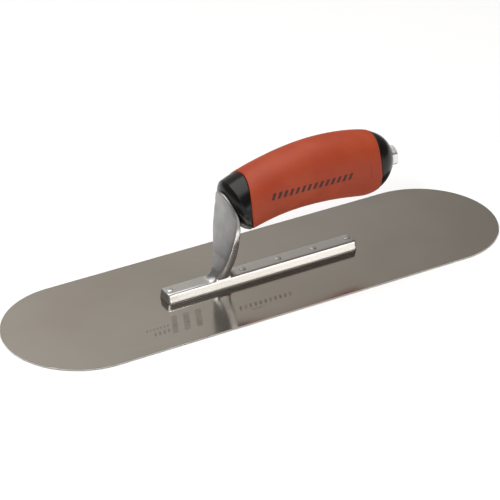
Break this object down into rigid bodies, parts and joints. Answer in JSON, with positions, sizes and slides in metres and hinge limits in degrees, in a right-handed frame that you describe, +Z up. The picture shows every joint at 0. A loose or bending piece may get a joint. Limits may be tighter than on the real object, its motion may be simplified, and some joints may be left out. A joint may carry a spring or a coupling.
{
  "type": "finishing trowel",
  "caption": "Steel pool finishing trowel: thin flat blade with half-round ends, riveted aluminium rail and shank, and an arched soft-grip handle.",
  "frame": {"origin": "middle of the blade's flat underside, which is the lowest plane of the tool", "axes": "+X along the blade towards the rear end of the handle, +Y across the blade, +Z up from the blade to the handle"},
  "size_m": [0.3556, 0.1016, 0.0868],
  "materials": {
    "blade_steel": "ground and polished spring steel, slightly warm grey",
    "cast_aluminium": "as-cast aluminium, tumbled, satin",
    "rivet_steel": "peened steel, satin",
    "black_plastic": "moulded polypropylene, semi-gloss",
    "orange_rubber": "moulded soft rubber, matte",
    "plated_steel": "zinc-plated steel, satin"
  },
  "bodies": {
    "root": {"blade": "blade_steel", "mounting": "cast_aluminium", "rivet_1": "rivet_steel", "rivet_2": "rivet_steel", "rivet_3": "rivet_steel", "rivet_4": "rivet_steel", "rivet_5": "rivet_steel", "rivet_6": "rivet_steel", "handle_core": "black_plastic", "grip": "orange_rubber", "handle_bolt": "plated_steel", "washer": "plated_steel"}
  },
  "joints": []
}
